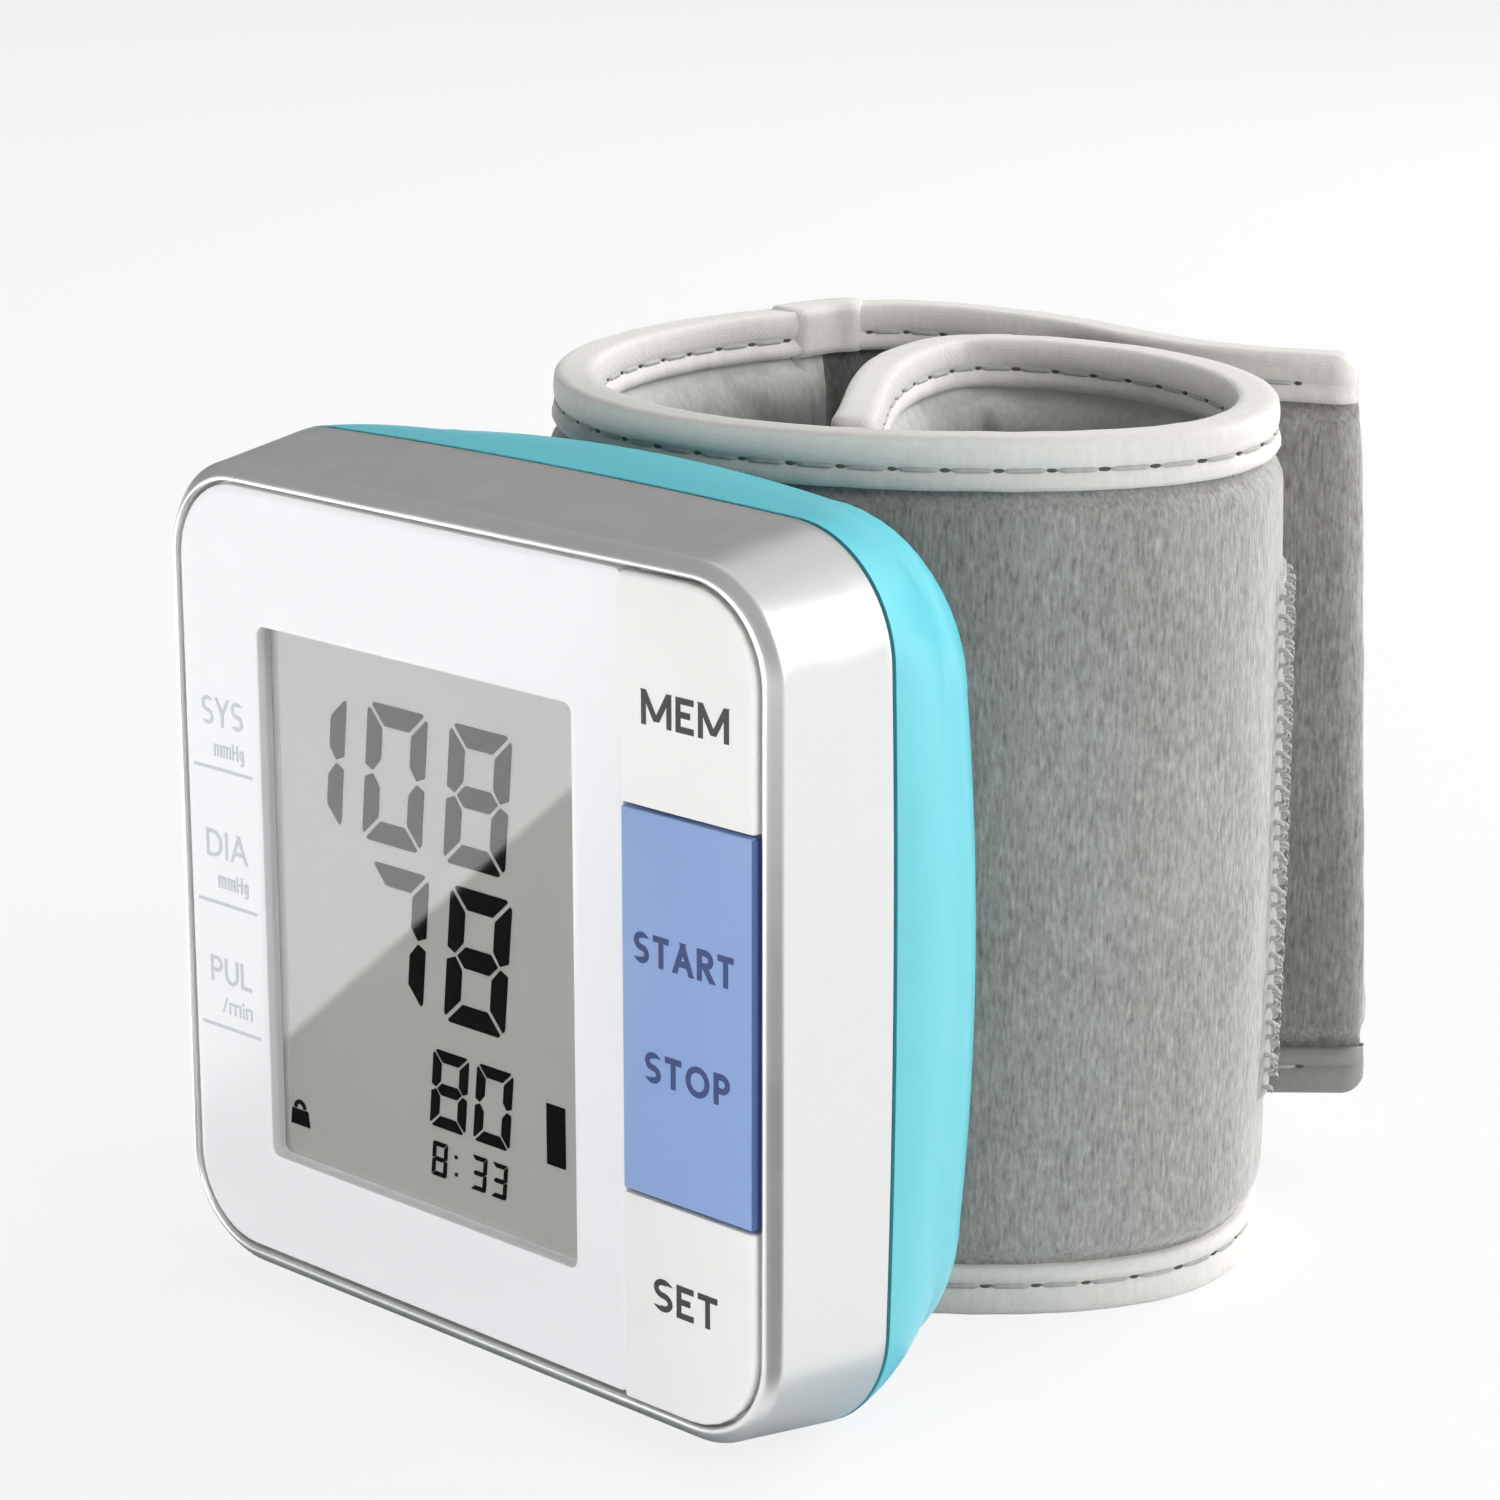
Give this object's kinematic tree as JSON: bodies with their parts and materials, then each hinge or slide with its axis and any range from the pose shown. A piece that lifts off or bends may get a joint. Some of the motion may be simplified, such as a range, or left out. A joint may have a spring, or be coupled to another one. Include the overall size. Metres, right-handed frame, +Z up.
{
  "type": "wrist blood pressure monitor",
  "caption": "Square wrist blood pressure monitor: white display face in a silver lip, side keys, aqua rear shell and a grey fabric cuff wound into a wrist loop.",
  "frame": {"origin": "middle of the base, under the middle of the whole part", "axes": "+Z up along the wrist opening, the display faces -Y, the keys are on +X"},
  "size_m": [0.0746, 0.0944, 0.0752],
  "materials": {
    "silver_frame": "satin silver metallised plastic",
    "white_gloss": "gloss white",
    "clear_window": "clear, polished",
    "display": "grey reflective display",
    "white_plastic": "plain moulded",
    "black_rubber": "plain moulded",
    "key_white": "fine satin",
    "key_blue": "fine satin",
    "board_green": "solder mask",
    "switch_metal": "stamped",
    "black_plastic": "plain moulded",
    "aqua_plastic": "satin",
    "cell_wrap": "printed sleeve, no text",
    "steel": "nickel plated",
    "air_tube": "soft silicone",
    "grey_velour": "flecked loop velour",
    "pale_lining": "smooth woven",
    "pale_binding": "folded tape with running stitch",
    "hook_tape": "moulded hooks"
  },
  "bodies": {
    "monitor": {"bezel_frame": "silver_frame", "front_plate": "white_gloss", "lcd_window": "clear_window", "lcd_glass": "display", "lcd_holder": "white_plastic", "contact_strip": "black_rubber", "circuit_board": "board_green", "tact_switch_mem": "switch_metal", "tact_switch_start": "switch_metal", "tact_switch_set": "switch_metal", "control_chip": "black_plastic", "buzzer": "black_plastic", "pressure_sensor": "white_plastic", "rear_housing": "aqua_plastic", "battery_1": "cell_wrap", "battery_spring_1": "steel", "battery_2": "cell_wrap", "battery_spring_2": "steel", "contact_bridge": "steel", "contact_minus": "steel", "contact_plus": "steel", "pump_motor": "switch_metal", "pump_head": "black_plastic", "air_manifold": "white_plastic", "tube_pump": "air_tube", "tube_valve": "air_tube", "tube_sensor": "air_tube", "valve_body": "black_plastic", "case_screw_1": "steel", "case_screw_2": "steel", "case_screw_3": "steel", "case_screw_4": "steel", "cuff_outer_fabric": "grey_velour", "cuff_lining": "pale_lining", "cuff_former": "white_plastic", "cuff_bladder": "black_rubber", "hook_patch": "hook_tape", "binding_top": "pale_binding", "binding_bottom": "pale_binding", "cuff_screw_1": "steel", "cuff_screw_2": "steel"},
    "mem_key": {"mem_button": "key_white"},
    "start_stop_key": {"start_stop_button": "key_blue"},
    "set_key": {"set_button": "key_white"},
    "mem_plunger": {"tact_plunger_mem": "black_plastic"},
    "start_stop_plunger": {"tact_plunger_start": "black_plastic"},
    "set_plunger": {"tact_plunger_set": "black_plastic"},
    "battery_door": {"battery_cover": "aqua_plastic"},
    "tail": {"tail_strap": "grey_velour", "tail_binding_top": "pale_binding", "tail_binding_bottom": "pale_binding"},
    "pump_rotor": {"pump_shaft": "steel"},
    "valve_core": {"valve_plunger": "steel"}
  },
  "joints": [
    {"name": "mem_press", "type": "slide", "parent": "monitor", "child": "mem_key", "axis": [0, 1, 0], "range_m": [0, 0.0005], "stiffness_N_per_m": 3000},
    {"name": "start_stop_press", "type": "slide", "parent": "monitor", "child": "start_stop_key", "axis": [0, 1, 0], "range_m": [0, 0.0005], "stiffness_N_per_m": 3000},
    {"name": "set_press", "type": "slide", "parent": "monitor", "child": "set_key", "axis": [0, 1, 0], "range_m": [0, 0.0005], "stiffness_N_per_m": 3000},
    {"name": "mem_click", "type": "slide", "parent": "monitor", "child": "mem_plunger", "axis": [0, 1, 0], "range_m": [0, 0.0005]},
    {"name": "start_stop_click", "type": "slide", "parent": "monitor", "child": "start_stop_plunger", "axis": [0, 1, 0], "range_m": [0, 0.0005]},
    {"name": "set_click", "type": "slide", "parent": "monitor", "child": "set_plunger", "axis": [0, 1, 0], "range_m": [0, 0.0005]},
    {"name": "battery_door_off", "type": "slide", "parent": "monitor", "child": "battery_door", "axis": [-1, 0, 0], "range_m": [0, 0.03]},
    {"name": "tail_open", "type": "hinge", "parent": "monitor", "child": "tail", "pos_m": [-0.03297, 0.03286, 0.0376], "axis": [0, 0, 1], "range_deg": [0, 100]},
    {"name": "pump_spin", "type": "hinge", "parent": "monitor", "child": "pump_rotor", "pos_m": [0.00443, -0.02964, 0.0291], "axis": [0, 0, 1], "continuous": true},
    {"name": "valve_lift", "type": "slide", "parent": "monitor", "child": "valve_core", "axis": [0, 0, 1], "range_m": [0, 0.001], "stiffness_N_per_m": 60}
  ],
  "couplings": [
    {"joint": "mem_click", "follows": "mem_press", "ratio": 1},
    {"joint": "start_stop_click", "follows": "start_stop_press", "ratio": 1},
    {"joint": "set_click", "follows": "set_press", "ratio": 1}
  ]
}
